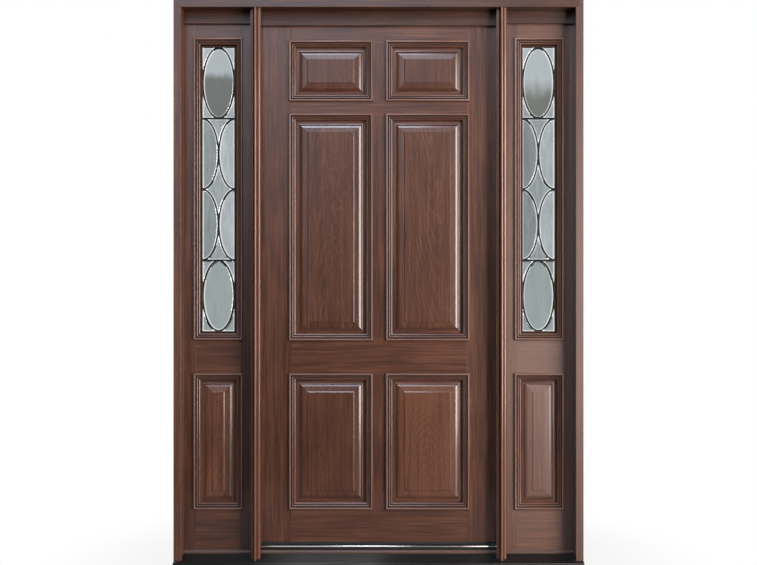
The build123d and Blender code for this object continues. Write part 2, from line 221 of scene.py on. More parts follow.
class Finish:
    """A material, or the world, while it is wired."""

    def __init__(self, name=None, world=None):
        self.block = world or bpy.data.materials.new(name)
        self.block.use_nodes = True
        self.tree = self.block.node_tree
        self.tree.nodes.clear()

    def add(self, kind, settings=None, sockets=None, out=0):
        """A node of that type: its settings first, then its sockets' values or links."""
        node = self.tree.nodes.new("ShaderNode" + kind)
        for name, value in (settings or {}).items():
            if name == "stops":
                ramp = node.color_ramp
                while len(ramp.elements) < len(value):
                    ramp.elements.new(0.5)
                for element, (position, colour) in zip(ramp.elements, value):
                    element.position = position
                    element.color = (*colour, 1.0)
            else:
                setattr(node, name, value)
        for key, value in (sockets or {}).items():
            if isinstance(value, Wire):
                self.tree.links.new(value.socket, node.inputs[key])
            else:
                node.inputs[key].default_value = value
        return Wire(self, node.outputs[out]) if len(node.outputs) else node

    def place(self):
        """The spot on the part, in metres from its origin."""
        return self.add("TexCoord", out="Object")

    def part(self, vector, axis):
        """One coordinate of a vector."""
        return self.add("SeparateXYZ", {}, {0: vector}, out=axis)

    def scaled(self, vector, scale):
        return self.add("VectorMath", {"operation": "MULTIPLY"}, {0: vector, 1: scale})

    def moved(self, vector, offset):
        return self.add("VectorMath", {"operation": "ADD"}, {0: vector, 1: offset})

    def noise(self, vector, detail=2.0, roughness=0.5):
        sockets = {"Vector": vector, "Scale": 1.0, "Detail": detail, "Roughness": roughness}
        return self.add("TexNoise", {"noise_dimensions": "3D"}, sockets)

    def smooth(self, value, low, high):
        sockets = {"Value": value, "From Min": low, "From Max": high}
        return self.add("MapRange", {"interpolation_type": "SMOOTHSTEP"}, sockets)

    def mixed(self, share, colour_a, colour_b):
        sockets = {0: share, 6: colour_a, 7: colour_b}
        return self.add("Mix", {"data_type": "RGBA"}, sockets, out=2)

    def between(self, share, colour, low, high):
        """The colour, from low times its tone to high times its tone."""
        return self.mixed(share, opaque(toned(colour, low)), opaque(toned(colour, high)))

    def bump(self, height, distance, strength):
        sockets = {"Strength": strength, "Distance": distance, "Height": height}
        return self.add("Bump", {}, sockets)

    def surface(self, sockets):
        """The Principled shader of this material, with these sockets."""
        shader = self.add("BsdfPrincipled", {}, sockets)
        self.output(shader)
        return self.block

    def output(self, shader):
        kind = "OutputWorld" if isinstance(self.block, bpy.types.World) else "OutputMaterial"
        self.add(kind, {}, {"Surface": shader})


def opaque(colour):
    return (*colour, 1.0)


def toned(colour, tone):
    return tuple(channel * tone for channel in colour)


# Timber


# Layers of the grain: width and length of a cell, detail and roughness of its noise, weight in the shade.
GRAIN_LAYERS = {
    "blotch": (90 * MM, 260 * MM, 2, 0.5, 0.8),
    "streak": (15 * MM, 520 * MM, 3, 0.6, 1.0),
    "line": (5 * MM, 170 * MM, 2, 0.6, 1.5),
    "fibre": (2.2 * MM, 90 * MM, 2, 0.5, 0.6),
}
PORE_WIDTH, PORE_LENGTH = 0.55 * MM, 14 * MM

# Height where the painted sheen is strongest, distances from it over which that ebbs, and share that is
# lost there.
SHEEN_HEIGHT = 0.95
SHEEN_EBB = (0.15, 1.1)
SHEEN_LOSS = 0.65

# How far the painted shade in a quirk, and the painted highlight on a crest, cover the wood, and their
# tones.
SHADE_COVER, SHADE_TONE = 0.95, 0.2
HIGHLIGHT_COVER, HIGHLIGHT_TONE = 0.52, 1.9

# Strength of the relief of a board, and of a moulding, whose narrow beads show it more.
BOARD_RELIEF, MOULDING_RELIEF = 0.07, 0.03

# Eased edges: distance under which the CAD's corners are one, and angle past which an edge is sharp.
WELD_DISTANCE = 0.005 * MM
SHARP_ANGLE = math.radians(40)


def wood(name, grain=UP, tone=1.0, figure=None, shift=0.0, painted_sheen=0.0, gloss=0.9, streaks=1.0):
    """Stained and varnished hardwood.

    figure adds the flat-sawn pattern of a panel: a function of the finish and of the spot. shift moves the
    grain along the board, so that boards differ. The argument after shift is the share of a pale colour
    that is painted in as the sheen of the varnish, strongest at one height; gloss is that of the varnish,
    and streaks how strongly the grain shows.
    """
    looks = bpy.context.scene.door_finish
    finish = Finish(name)
    if grain == ALONG:
        spot = finish.add("UVMap", {"uv_map": GRAIN_MAP})
    else:
        spot = finish.place()
    lengthwise = 2 if grain == UP else 0
    offset = [0.0] * 3
    offset[lengthwise] = shift
    spot = finish.moved(spot, offset)

    def stretched(across, along):
        """The spot, in cells of that width and length."""
        cell = [1 / across] * 3
        cell[lengthwise] = 1 / along
        return finish.scaled(spot, cell)

    shade = 0.5
    layers = {}
    for layer, (across, along, detail, roughness, weight) in GRAIN_LAYERS.items():
        layers[layer] = finish.noise(stretched(across, along), detail, roughness) - 0.5
        shade = layers[layer] * (weight * streaks) + shade
    pores = finish.smooth(finish.noise(stretched(PORE_WIDTH, PORE_LENGTH), detail=1), 0.62, 0.74)
    if figure:
        shade = shade + figure(finish, spot)
    shade = shade - pores * 0.16
    stains_and_painted_light = ((0.12, looks.wood_dark), (0.50, looks.wood_mid), (0.92, looks.wood_light))
    stops = [(position, toned(stain, tone)) for position, stain in stains_and_painted_light]
    colour = finish.add("ValToRGB", {"stops": stops}, {0: shade})
    # Painted sheen: a pale colour mixed in, strongest at one height and ebbing above and below it.
    if painted_sheen:
        off = (finish.part(finish.place(), "Z") - SHEEN_HEIGHT).math("ABSOLUTE")
        ebb = finish.smooth(off + layers["blotch"] * 0.3, *SHEEN_EBB)
        colour = finish.mixed((1 - ebb * SHEEN_LOSS) * painted_sheen, colour, opaque(looks.wood_sheen))
    roughness = looks.varnish_roughness + layers["streak"] * 0.10 + pores * 0.12
    coat, strength = gloss, BOARD_RELIEF
    # On a moulding, painted shade darkens the quirks, where the coat is also thinner and rougher, and a
    # painted highlight lightens the crests.
    if grain == ALONG:
        stain = finish.add("Attribute", {"attribute_name": PAINTED_LIGHT_MAP}, out="Fac")
        painted_shade = stain.math("MAXIMUM", 0.0)
        painted_highlight = (-stain).math("MAXIMUM", 0.0)
        colour = finish.mixed(painted_shade * SHADE_COVER, colour, opaque(toned(looks.wood_dark, SHADE_TONE)))
        highlight_pair = zip(toned(looks.wood_light, HIGHLIGHT_TONE), looks.wood_sheen)
        crest = [(light + pale) / 2 for light, pale in highlight_pair]
        colour = finish.mixed(painted_highlight * HIGHLIGHT_COVER, colour, opaque(crest))
        coat, strength = gloss * (1 - painted_shade * 0.9), MOULDING_RELIEF
        roughness = roughness + painted_shade * 0.4
    relief = finish.bump(layers["fibre"] * 0.5 - pores * 0.6, 0.12 * MM, strength)
    return finish.surface({
        "Base Color": colour,
        "Roughness": roughness,
        "Specular IOR Level": 0.5,
        "Coat Weight": coat,
        "Coat Roughness": 0.13,
        "Normal": relief,
    })


def dress(names, material):
    """Gives these CAD nodes the material and eased edges."""
    for name in names:
        node = NODES[name]
        node.data.materials.clear()
        node.data.materials.append(material)
        ease(node)


def ease(node):
    """Rounds the sharp edges of a CAD node by modifiers. Its mesh stays as it is."""
    weld = node.modifiers.new("weld", "WELD")
    weld.merge_threshold = WELD_DISTANCE
    bevel = node.modifiers.new("eased_edge", "BEVEL")
    bevel.width = bpy.context.scene.door_detail.eased_edge
    bevel.segments = 2
    bevel.limit_method = "ANGLE"
    bevel.angle_limit = SHARP_ANGLE
    bevel.use_clamp_overlap = True
    bevel.harden_normals = True


def solids_of(name):
    """The points of each separate solid of a CAD node, the solid with the lowest X first.

    Corners in the same cell of a fine grid count as one.
    """
    mesh = NODES[name].data
    cells_per_metre = 1e5
    spots = {}
    joined = []

    def root(index):
        while joined[index] != index:
            index = joined[index]
        return index

    labels = []
    for vertex in mesh.vertices:
        key = tuple(round(value * cells_per_metre) for value in vertex.co)
        if key not in spots:
            spots[key] = len(joined)
            joined.append(spots[key])
        labels.append(spots[key])
    for edge in mesh.edges:
        first, second = (root(labels[end]) for end in edge.vertices)
        joined[first] = second
    groups = {}
    for vertex, label in zip(mesh.vertices, labels):
        groups.setdefault(root(label), []).append(vertex.co)
    solids = [np.array(points, float) for points in groups.values()]
    return sorted(solids, key=lambda points: tuple(points.min(0).round(4)))


def new_piece(name, mesh, body, materials, replaced=()):
    """Links a mesh as a piece of the object that rides on a body."""
    piece = bpy.data.objects.new(name, mesh)
    bpy.context.scene.collection.objects.link(piece)
    for material in materials:
        mesh.materials.append(material)
    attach(piece, body)
    if replaced:
        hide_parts(*replaced)


def mesh_from(bm, name, sharp=28):
    """Turns a bmesh into a mesh with smooth faces and edges that stay sharp past an angle in degrees."""
    bmesh.ops.recalc_face_normals(bm, faces=bm.faces)
    for face in bm.faces:
        face.smooth = True
    mesh = bpy.data.meshes.new(name)
    bm.to_mesh(mesh)
    bm.free()
    mesh.set_sharp_from_angle(angle=math.radians(sharp))
    return mesh


def skin(bm, first, second):
    """Faces between two closed rows of as many corners."""
    for step, corner in enumerate(first):
        ahead = (step + 1) % len(first)
        bm.faces.new((corner, first[ahead], second[ahead], second[step]))


# Mouldings


def arc(start, end, rise, steps):
    """Points of a round from start to end that bulges by rise to the left of its chord."""
    a, b = Vector(start), Vector(end)
    chord = b - a
    half = chord.length / 2
    radius = (half * half + rise * rise) / (2 * abs(rise))
    normal = Vector((-chord.y, chord.x)).normalized() * math.copysign(1, rise)
    centre = (a + b) / 2 + normal * (abs(rise) - radius)
    turn = 2 * math.asin(min(1, half / radius))
    if abs(rise) > half:
        turn = 2 * math.pi - turn
    turn = -math.copysign(turn, rise)
    spoke = a - centre
    points = []
    for step in range(steps + 1):
        angle = turn * step / steps
        cos, sin = math.cos(angle), math.sin(angle)
        points.append((centre.x + spoke.x * cos - spoke.y * sin, centre.y + spoke.x * sin + spoke.y * cos))
    return points


def moulding_section(width, steps):
    """The bolection section, in millimetres: distance in from its outer edge, height over the timber."""
    well, back, lap = -9.8, -15.0, 10.0
    outer_bead = arc((0.0, 6.4), (8.6, 6.4), 3.0, steps + 3)
    first_quirk = [(8.6, 3.4), (12.8, 3.4), (12.8, 5.5)]
    middle_bead = arc((13.2, 5.8), (17.4, 4.0), 0.35, steps)
    second_quirk = [(17.4, 2.0), (20.4, 2.0), (20.4, 3.2)]
    inner_bead = arc((20.8, 3.4), (26.4, 0.8), 0.45, steps)
    well_floor = [(27.6, well), (width - 5.4, well)]
    lip = [(width - 0.7, -7.4), (width - 0.2, -7.5), (width, -7.9)]
    hidden = [(width, back), (lap, back), (lap, 0.0)]
    shown = outer_bead + first_quirk + middle_bead + second_quirk + inner_bead + well_floor + lip
    return [(0.0, 0.0)] + shown + hidden


def painted_shade_and_highlight(section, full, highlight_rise, reach=7.0):
    """Painted shade and painted highlight at each point of a section: 1 deep in a quirk, 0 on the flat, -1
    on a crest.

    full is the depth that is shaded fully, the next argument the height over both hollows where the painted
    highlight starts, and reach how far to each side the hollows and crests count.
    """
    stains_and_painted_light = []
    for s, height in section:
        before = [h for p, h in section if s - reach <= p <= s]
        after = [h for p, h in section if s <= p <= s + reach]
        under = min(max(before), max(after)) - height
        over = height - max(min(before), min(after))
        stains_and_painted_light.append(min(1.0, under / full) if under > 0 else -min(1.0, max(0.0, over / highlight_rise - 1)))
    return stains_and_painted_light


def add_ring(bm, uv, low, high, section, face, facing, draw):
    """A mitred ring of a moulding round a rectangle, with the grain along each of its four sides.

    The grain of each side starts at a random spot.
    """
    grain_reach = 9
    painted_light_map = bm.verts.layers.float[PAINTED_LIGHT_MAP]
    corners = []
    # Each corner carries the painted shade of its quirk or the painted highlight of its crest.
    for (inward, proud), stain in zip(section, painted_shade_and_highlight(section, full=1.4, highlight_rise=3.0)):
        s, y = inward * MM, face - facing * proud * MM
        left, right, bottom, top = low[0] + s, high[0] - s, low[2] + s, high[2] - s
        spots = ((left, y, bottom), (right, y, bottom), (right, y, top), (left, y, top))
        corners.append([bm.verts.new(spot) for spot in spots])
        for vertex in corners[-1]:
            vertex[painted_light_map] = stain
    across = [0.0]
    for (s0, h0), (s1, h1) in zip(section, section[1:] + section[:1]):
        across.append(across[-1] + math.hypot(s1 - s0, h1 - h0) * MM)
    count = len(section)
    for side in range(4):
        shift = Vector((draw.uniform(0, grain_reach), draw.uniform(0, grain_reach)))
        axis = side % 2 * 2
        for row in range(count):
            ahead = (row + 1) % count
            loop = (
                (corners[row][side], across[row]),
                (corners[row][(side + 1) % 4], across[row]),
                (corners[ahead][(side + 1) % 4], across[row + 1]),
                (corners[ahead][side], across[row + 1]),
            )
            face_made = bm.faces.new([vertex for vertex, _ in loop])
            for corner, (vertex, over) in zip(face_made.loops, loop):
                corner[uv].uv = shift + Vector((vertex.co[axis], over))


def moulding_piece(node, body, material, draw):
    """Fine rings in place of a CAD node's plain ones."""
    steps = bpy.context.scene.door_detail.bead_steps
    bm = bmesh.new()
    bm.verts.layers.float.new(PAINTED_LIGHT_MAP)
    uv = bm.loops.layers.uv.new(GRAIN_MAP)
    for points in solids_of(node):
        low, high = points.min(0), points.max(0)
        middle = (low + high) / 2
        width = (high[0] - low[0]) / 2 - np.abs(points[:, 0] - middle[0]).min()
        outside = middle[1] < MID_DEPTH
        section = moulding_section(round(width / MM, 3), steps)
        face = FACE_OUT if outside else FACE_IN
        add_ring(bm, uv, low, high, section, face, 1 if outside else -1, draw)
    mesh = mesh_from(bm, node + "_fine")
    new_piece(node + "_fine", mesh, body, [material], [node])


def cover_section(steps):
    """The mullion cover's section, in millimetres: across from its middle, height over the post."""
    shoulder, hollow, crest = (5.0, 17.5), (8.4, 2.0), (12.2, 4.2)
    ridge = arc((-shoulder[0], shoulder[1]), shoulder, 3.5, steps + 5)
    right = arc(shoulder, hollow, -0.6, steps)[1:]
    right += arc(hollow, crest, 0.7, steps)[1:]
    right += arc(crest, (17.2, 2.3), 0.4, steps)[1:]
    right += [(17.4, 1.9), (17.4, 1.2), (20.0, 1.2), (20.0, 0.0)]
    return [(-x, rise) for x, rise in reversed(right)] + ridge + right


def cover_piece(side, material):
    """A fine mullion cover whose foot is cut to the slope of the sill."""
    node = side + "_mullion_cover"
    low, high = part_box(node)
    points = np.array([vertex.co for vertex in NODES[node].data.vertices])
    foot = {}
    for y, z in points[:, 1:]:
        foot[round(y, 5)] = min(z, foot.get(round(y, 5), z))
    depths = sorted(foot)
    middle = (low.x + high.x) / 2
    section = cover_section(bpy.context.scene.door_detail.bead_steps)
    bm = bmesh.new()
    painted_light_map = bm.verts.layers.float.new(PAINTED_LIGHT_MAP)
    uv = bm.loops.layers.uv.new(GRAIN_MAP)
    rows = []
    # Each corner carries a faint painted shade in the hollows and a painted highlight on the crests.
    for (x, rise), stain in zip(section, painted_shade_and_highlight(section, full=30.0, highlight_rise=1.0)):
        y = high.y - rise * MM
        bottom = float(np.interp(y, depths, [foot[depth] for depth in depths]))
        rows.append([bm.verts.new((middle + x * MM, y, z)) for z in (bottom, high.z)])
        for vertex in rows[-1]:
            vertex[painted_light_map] = stain
    across = 0.0
    count = len(rows)
    for row in range(count):
        ahead = (row + 1) % count
        width = (rows[ahead][0].co.xy - rows[row][0].co.xy).length
        face = bm.faces.new((rows[row][0], rows[ahead][0], rows[ahead][1], rows[row][1]))
        for corner, over in zip(face.loops, (0.0, width, width, 0.0)):
            corner[uv].uv = (corner.vert.co.z, across + over)
        across += width
    bm.faces.new([row[1] for row in rows])
    bm.faces.new([row[0] for row in reversed(rows)])
    mesh = mesh_from(bm, node + "_fine")
    new_piece(node + "_fine", mesh, FRAME, [material], [node])


# Figure of the panels


# Cells per metre, along X, Y and Z, of the noise that bends the rings and of the patches where they show.
RING_WARP = (26.0, 26.0, 8.0)
RING_PATCHES = (17.0, 17.0, 7.0)


def cathedral(centre, depth, slope, spacing, strength, lean=0.0):
    """Flat-sawn arches: rings of a log whose heart leans out of the board.

    centre is the X and Z of the heart, and depth its distance behind the face there. slope and lean say how
    far it runs inwards and sideways for each metre up, and spacing is the distance from ring to ring.
    """

    def figure(finish, spot):
        warp = finish.noise(finish.scaled(spot, RING_WARP), detail=4, roughness=0.6) - 0.5
        patches = finish.noise(finish.scaled(spot, RING_PATCHES), detail=2)
        up = finish.part(spot, "Z") - centre[1]
        side = finish.part(spot, "X") - centre[0] + up * lean + warp * 0.06
        inward = up * slope + depth + warp * 0.04
        ring = (side * side + inward * inward) ** 0.5
        wave = (ring * (2 * math.pi / spacing)).math("SINE")
        line = finish.smooth(wave, 0.55, 1.0) * finish.smooth(patches, 0.38, 0.66)
        band = finish.smooth(wave, -1.0, 1.0)
        return ((line - 0.1) + (band - 0.5) * 0.35) * strength

    return figure


def side_by_side(left, right, paler):
    """The figures of two boards on either side of the middle, the right one paler by a share."""

    def figure(finish, spot):
        share = finish.smooth(finish.part(spot, "X"), -MM, MM)
        return left(finish, spot) * (1 - share) + (right(finish, spot) + paler) * share

    return figure


# Leaded glass


# Kinds of glass, in the order of a sidelight's materials.
UPPER_OVAL, LOWER_OVAL, LEFT_HALF, RIGHT_HALF, FIELD, BEVEL = range(6)

# Cells per metre, along X, Y and Z, of the clouds and the ripples in the glass, and of the lead's patina.
GLASS_CLOUD = (30.0, 30.0, 9.0)
GLASS_RIPPLE = (120.0, 120.0, 16.0)
LEAD_CLOUD = (160.0, 160.0, 160.0)

# Rounded top of a lead strip, and dome of solder: share of the half width, share of the rise.
STRIP_TOP = ((-1.0, 0.0), (-0.92, 0.5), (-0.6, 0.88), (0.0, 1.0), (0.6, 0.88), (0.92, 0.5), (1.0, 0.0))
SOLDER_DOME = ((1.0, 0.0), (0.86, 0.55), (0.55, 0.87))
SOLDER_STEPS = 14


class LeadPattern:
    """The came's centre lines on one sidelight, in the plane of its glass."""

    MODULES = 4
    ROUND_STEPS = 144

    # In half widths of the came: gaps between an oval and its module's sides and ends, length of a tick.
    SIDE_GAP, END_GAP = 0.45, 0.6
    TICK = 3.0

    def __init__(self, side):
        points = solids_of(side + "_sidelight_glass_mouldings")[0]
        low, high = points.min(0), points.max(0)
        self.x = (low[0] + high[0]) / 2
        half_width = np.abs(points[:, 0] - self.x).min()
        self.left, self.right = self.x - half_width, self.x + half_width
        self.middle = (low[2] + high[2]) / 2
        half_height = np.abs(points[:, 2] - self.middle).min()
        self.top, self.bottom = self.middle + half_height, self.middle - half_height
        self.module = 2 * half_height / self.MODULES
        self.inset = bpy.context.scene.door_detail.came_width / 2
        self.across = half_width - self.SIDE_GAP * self.inset
        self.up = self.module / 2 - self.END_GAP * self.inset

    def centre(self, module):
        return self.top - (module + 0.5) * self.module

    def oval(self, x, z, start=0.0, end=2 * math.pi):
        steps = round(self.ROUND_STEPS * (end - start) / (2 * math.pi))
        angles = [start + (end - start) * step / steps for step in range(steps + 1)]
        return [(x + self.across * math.cos(a), z + self.up * math.sin(a)) for a in angles]

    def bars(self):
        """Straight strips over the whole width, where an oval meets the half ovals."""
        heights = (self.top - self.module, self.bottom + self.module)
        return [[(self.left, z), (self.right, z)] for z in heights]

    def ticks(self):
        """Short strips at both edges, half way up, where two half ovals end."""
        reach = self.TICK * self.inset
        ends = ((self.left, reach), (self.right, -reach))
        return [[(x, self.middle), (x + step, self.middle)] for x, step in ends]

    def ovals(self):
        return [self.oval(self.x, self.centre(module)) for module in (0, self.MODULES - 1)]

    def half_ovals(self):
        found = []
        for module in (1, 2):
            z = self.centre(module)
            found.append(self.oval(self.left, z, -math.pi / 2, math.pi / 2))
            found.append(self.oval(self.right, z, math.pi / 2, 1.5 * math.pi))
        return found

    def strips(self):
        return self.ovals() + self.half_ovals() + self.bars() + self.ticks()

    def kind(self, x, z):
        """Which kind of glass lies at a spot."""
        halves = {LEFT_HALF: self.left, RIGHT_HALF: self.right}
        modules = ({UPPER_OVAL: self.x}, halves, halves, {LOWER_OVAL: self.x})
        for module, middles in enumerate(modules):
            dz = (z - self.centre(module)) / self.up
            for kind, middle in middles.items():
                if ((x - middle) / self.across) ** 2 + dz * dz < 1:
                    return kind
        return FIELD


def distance_to(points, line):
    """Distance of each point to a line of points."""
    best = np.full(len(points), np.inf)
    line = np.array(line)
    for a, b in zip(line, line[1:]):
        along = b - a
        share = np.clip(((points - a) @ along) / (along @ along), 0, 1)
        best = np.minimum(best, np.linalg.norm(points - a - share[:, None] * along, axis=1))
    return best


def is_closed(line):
    return math.dist(line[0], line[-1]) < SAME_SPOT


def directions(line):
    """The direction of a line at each of its points."""
    found = []
    last = len(line) - 1
    for index in range(len(line)):
        before, after = line[max(index - 1, 0)], line[min(index + 1, last)]
        if is_closed(line) and index in (0, last):
            before, after = line[-2], line[1]
        found.append(Vector((after[0] - before[0], after[1] - before[1])).normalized())
    return found


def offset_line(line, distance):
    """The line moved sideways by a distance."""
    runs = directions(line)
    return [(x - run.y * distance, z + run.x * distance) for (x, z), run in zip(line, runs)]


def rectangle(left, bottom, right, top):
    """The corners of an upright rectangle, with the first one again at the end."""
    return [(left, bottom), (right, bottom), (right, top), (left, top), (left, bottom)]


def glass_mesh(side, pattern):
    """One sheet of glass with a ground bevel beside each lead strip, on both faces."""
    detail = bpy.context.scene.door_detail
    low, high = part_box(side + "_sidelight_glass")
    left, bottom, right, top = pattern.left, pattern.bottom, pattern.right, pattern.top
    ground = detail.bevel_width
    border = rectangle(left, bottom, right, top)
    guides = [border, rectangle(left + ground, bottom + ground, right - ground, top - ground)]
    reach = pattern.inset + ground
    for line in pattern.strips():
        for distance in (pattern.inset, reach):
            guides.append(offset_line(line, distance))
            guides.append(offset_line(line, -distance))
    rim = rectangle(low.x, low.z, high.x, high.z)[:4]
    spots = [Vector(spot) for spot in rim]
    edges = [(0, 1), (1, 2), (2, 3), (3, 0)]
    for guide in guides:
        start = len(spots)
        spots += [Vector((min(max(x, left), right), min(max(z, bottom), top))) for x, z in guide]
        edges += [(step, step + 1) for step in range(start, len(spots) - 1)]
    flat, _, triangles = delaunay_2d_cdt(spots, edges, [], 0, SAME_SPOT)[:3]
    flat = np.array(flat, float)
    gap = np.full(len(flat), np.inf)
    for line in pattern.strips():
        gap = np.minimum(gap, distance_to(flat, line) - pattern.inset)
    gap = np.minimum(gap, distance_to(flat, border))
    outside = (flat[:, 0] < left) | (flat[:, 0] > right)
    outside |= (flat[:, 1] < bottom) | (flat[:, 1] > top)
    gap[outside] = 0
    rise = np.clip(gap / ground, 0, 1) * detail.bevel_rise
    level = 0.05 * detail.bevel_rise

    bm = bmesh.new()
    for depth, facing in ((low.y, -1), (high.y, 1)):
        sheet = [bm.verts.new((x, depth + facing * lift, z)) for (x, z), lift in zip(flat, rise)]
        for triangle in triangles:
            face = bm.faces.new([sheet[index] for index in triangle])
            lifts = [rise[index] for index in triangle]
            x, z = flat[list(triangle)].mean(0)
            sloped = max(lifts) - min(lifts) > level
            face.material_index = BEVEL if sloped else pattern.kind(x, z)
    bmesh.ops.bridge_loops(bm, edges=[edge for edge in bm.edges if len(edge.link_faces) == 1])
    return mesh_from(bm, side + "_leaded_glass", sharp=8)


def glass(name, tint, mottle, roughness, over=None):
    """Textured glass: a tint that wanders a little, with ripples that run up the pane.

    mottle is the share by which the tint wanders. over is a painted reflection: a pale tint for the top of
    the pane, with the height where it starts and the height where it is full.
    """
    finish = Finish(name)
    spot = finish.place()
    cloud = finish.noise(finish.scaled(spot, GLASS_CLOUD), detail=3, roughness=0.6)
    ripple = finish.noise(finish.scaled(spot, GLASS_RIPPLE), detail=2)
    wander = finish.smooth(cloud * 0.6 + ripple * 0.4, 0.3, 0.7)
    colour = finish.between(wander, tint, 1 - mottle, 1 + mottle)
    # A painted reflection: the glass turns pale above a wavering horizon.
    if over:
        reflection_tint, start, full = over
        height = finish.part(spot, "Z") + (cloud - 0.5) * (full - start)
        pale = finish.smooth(height, start, full)
        colour = finish.mixed(pale, colour, opaque(reflection_tint))
    relief = finish.bump(ripple, 0.8 * MM, strength=0.25)
    return finish.surface({
        "Base Color": colour,
        "Roughness": roughness,
        "IOR": 1.5,
        "Transmission Weight": 1.0,
        "Normal": relief,
    })


def add_strip(bm, line, width, rise, depth, facing):
    """A lead strip with a rounded top along a line in the glass plane."""
    closed = is_closed(line)
    spots = list(zip(line, directions(line)))
    if closed:
        spots.pop()
    rows = []
    for (x, z), run in spots:
        row = []
        for over, high in STRIP_TOP:
            shift = over * width / 2
            spot = (x - run.y * shift, depth + facing * high * rise, z + run.x * shift)
            row.append(bm.verts.new(spot))
        rows.append(row)
    for first, second in zip(rows, rows[1:] + rows[:1] if closed else rows[1:]):
        skin(bm, first, second)
    if not closed:
        bm.faces.new(rows[0])
        bm.faces.new(list(reversed(rows[-1])))


def add_solder(bm, spot, radius, rise, depth, facing):
    """A flat dome of solder where strips meet."""
    turns = [2 * math.pi * step / SOLDER_STEPS for step in range(SOLDER_STEPS)]
    rows = []
    for reach, high in SOLDER_DOME:
        row = []
        for turn in turns:
            x = spot[0] + math.cos(turn) * reach * radius
            z = spot[1] + math.sin(turn) * reach * radius
            row.append(bm.verts.new((x, depth + facing * high * rise, z)))
        rows.append(row)
    crown = bm.verts.new((spot[0], depth + facing * rise, spot[1]))
    for low_row, high_row in zip(rows, rows[1:]):
        skin(bm, low_row, high_row)
    for step, corner in enumerate(rows[-1]):
        bm.faces.new((corner, rows[-1][(step + 1) % SOLDER_STEPS], crown))
    bm.faces.new(list(reversed(rows[0])))


def lead_finish():
    looks = bpy.context.scene.door_finish
    finish = Finish("patinated_lead")
    cloud = finish.noise(finish.scaled(finish.place(), LEAD_CLOUD), detail=3)
    relief = finish.bump(cloud, 0.3 * MM, strength=0.3)
    return finish.surface({
        "Base Color": finish.between(cloud, looks.lead, 0.6, 1.6),
        "Roughness": 0.40 + cloud * 0.15,
        "Specular IOR Level": 0.25,
        "Normal": relief,
    })


# Metals and rubber


# Cells per metre, along X, Y and Z, of the clouds in a metal's tone.
METAL_CLOUD = (5.0, 20.0, 20.0)

# Gasket on the threshold cap: gaps to the leaf's face and to the cap's back, ribs and grooves.
GASKET_FRONT, GASKET_BACK = 1.0 * MM, 4.0 * MM
RIB_PITCH, RIB_RISE, GROOVE_RISE = 3.0 * MM, 0.25 * MM, 0.1 * MM

# Screw heads: size, steps along each half, and their places as shares of a hinge leaf's height and width.
SCREW_RADIUS, SCREW_RISE = 4.2 * MM, 0.35 * MM
SCREW_STEPS = 12
SCREWS_UP = (0.12, 0.37, 0.63, 0.88)
SCREWS_ACROSS = (0.30, 0.64)


def gasket_mesh(name):
    """A thin ribbed rubber strip that lies on the threshold cap, under the leaf."""
    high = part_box("threshold_cap")[1]
    leaf_low, leaf_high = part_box("door_sweep")
    start, end = FACE_OUT + GASKET_FRONT, high.y - GASKET_BACK
    count = int((end - start) / RIB_PITCH)
    crown, groove = high.z + RIB_RISE, high.z + GROOVE_RISE
    outline = [(start, high.z)]
    for index in range(count):
        y = start + index * RIB_PITCH
        outline += [(y + 0.2 * RIB_PITCH, crown), (y + 0.7 * RIB_PITCH, crown)]
        outline += [(y + 0.8 * RIB_PITCH, groove), (y + RIB_PITCH, groove)]
    outline.append((start + count * RIB_PITCH, high.z))
    bm = bmesh.new()
    ends = [[bm.verts.new((x, y, z)) for y, z in outline] for x in (leaf_low.x, leaf_high.x)]
    skin(bm, *ends)
    bm.faces.new(ends[0])
    bm.faces.new(list(reversed(ends[1])))
    return mesh_from(bm, name)


def add_screw(bm, spot, facing, turn):
    """A slotted screw head on a face that looks along X: two halves with the slot between them."""
    half_slot = 0.16 * SCREW_RADIUS
    x, y, z = spot
    for half in (0.0, math.pi):
        loops = []
        for reach, lift in ((SCREW_RADIUS, 0.0), (0.84 * SCREW_RADIUS, SCREW_RISE)):
            swing = math.acos(half_slot / reach)
            loop = []
            for step in range(SCREW_STEPS + 1):
                angle = swing * (2 * step / SCREW_STEPS - 1) + half + turn
                across, upward = reach * math.cos(angle), reach * math.sin(angle)
                loop.append(bm.verts.new((x + facing * lift, y + across, z + upward)))
            loops.append(loop)
        base, top = loops
        skin(bm, base, top)
        bm.faces.new(top)
        bm.faces.new(list(reversed(base)))


def screw_mesh(name, node, facing, draw):
    """Four screw heads on each leaf of a hinge node, in a zigzag."""
    bm = bmesh.new()
    for points in solids_of(node):
        plate = points[points[:, 1] < MID_DEPTH]
        low, high = plate.min(0), plate.max(0)
        x = high[0] if facing > 0 else low[0]
        for row, share in enumerate(SCREWS_UP):
            y = low[1] + (FACE_IN - low[1]) * SCREWS_ACROSS[row % 2]
            z = low[2] + (high[2] - low[2]) * share
            add_screw(bm, (x, y, z), facing, draw.uniform(0, math.pi))
    return mesh_from(bm, name)


